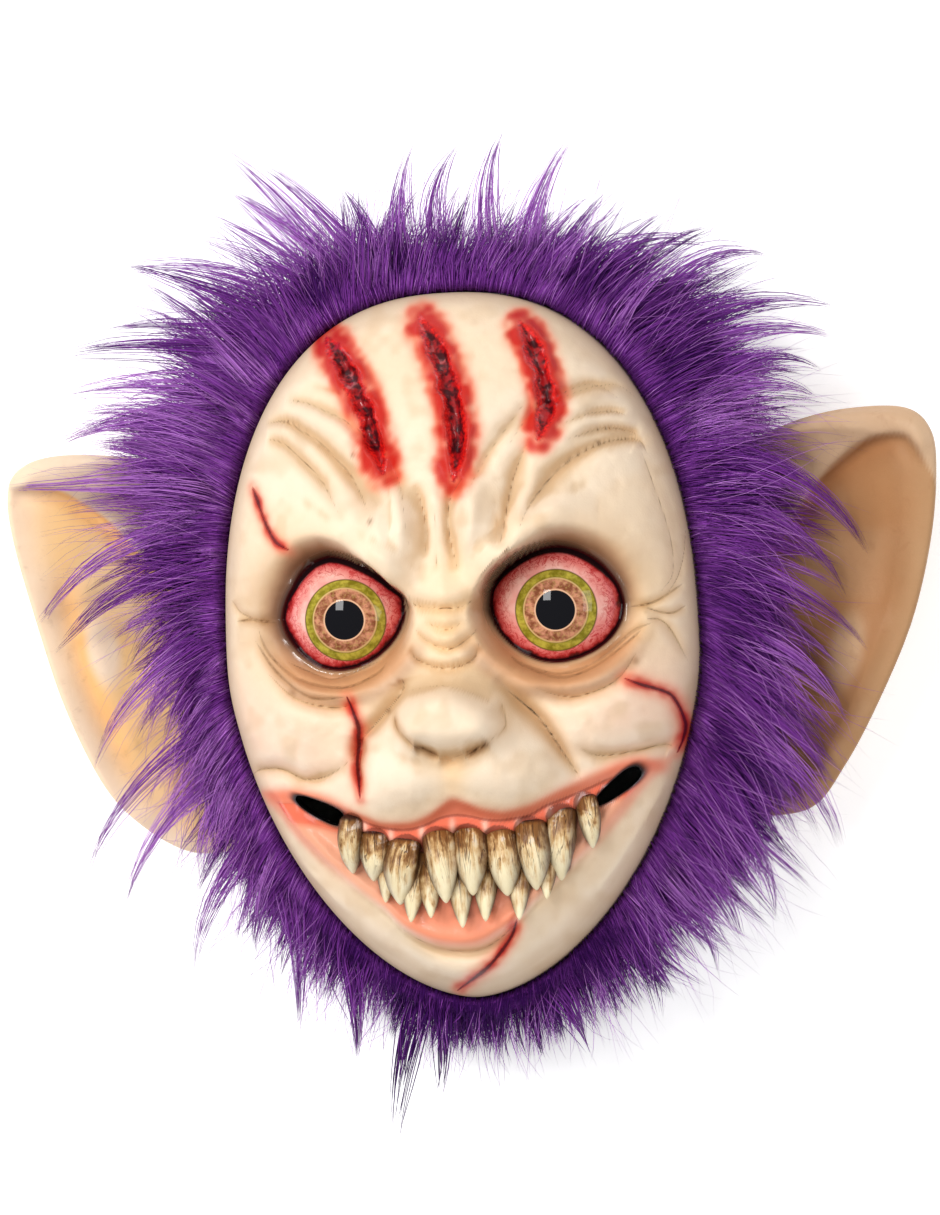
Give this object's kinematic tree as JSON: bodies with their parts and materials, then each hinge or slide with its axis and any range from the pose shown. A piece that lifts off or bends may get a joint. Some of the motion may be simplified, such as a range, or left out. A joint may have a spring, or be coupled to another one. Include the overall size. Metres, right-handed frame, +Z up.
{
  "type": "monster mask",
  "caption": "Adult costume mask of a grinning big-eared monster: moulded latex face, domed eyes, fangs and a ruff of long faux fur, open at the back, lying face up.",
  "frame": {"origin": "on the table under the middle of the mask, which lies on its back", "axes": "+Z up out of the face, +Y to the crown of the head, +X to the mask's own left ear"},
  "size_m": [0.3712, 0.398, 0.1446],
  "materials": {
    "latex": "cream moulded latex with airbrushed shading, pink lips and glossy red cuts",
    "ear_latex": "matt latex, orange tan in the cup and cream on the rolled rim",
    "fur": "long violet acrylic pile in loose pointed locks",
    "eye_acrylic": "glossy painted dome, bloodshot white with olive and pink rings and a black pupil",
    "fang_resin": "ivory resin, stained brown at the root"
  },
  "bodies": {
    "root": {"latex_face": "latex", "left_ear": "ear_latex", "right_ear": "ear_latex", "fur_ruff": "fur", "left_eye": "eye_acrylic", "right_eye": "eye_acrylic", "front_fang_1": "fang_resin", "front_fang_2": "fang_resin", "front_fang_3": "fang_resin", "front_fang_4": "fang_resin", "front_fang_5": "fang_resin", "front_fang_6": "fang_resin", "front_fang_7": "fang_resin", "front_fang_8": "fang_resin", "front_fang_9": "fang_resin", "back_fang_1": "fang_resin", "back_fang_2": "fang_resin", "back_fang_3": "fang_resin", "back_fang_4": "fang_resin", "back_fang_5": "fang_resin", "back_fang_6": "fang_resin", "back_fang_7": "fang_resin"}
  },
  "joints": []
}
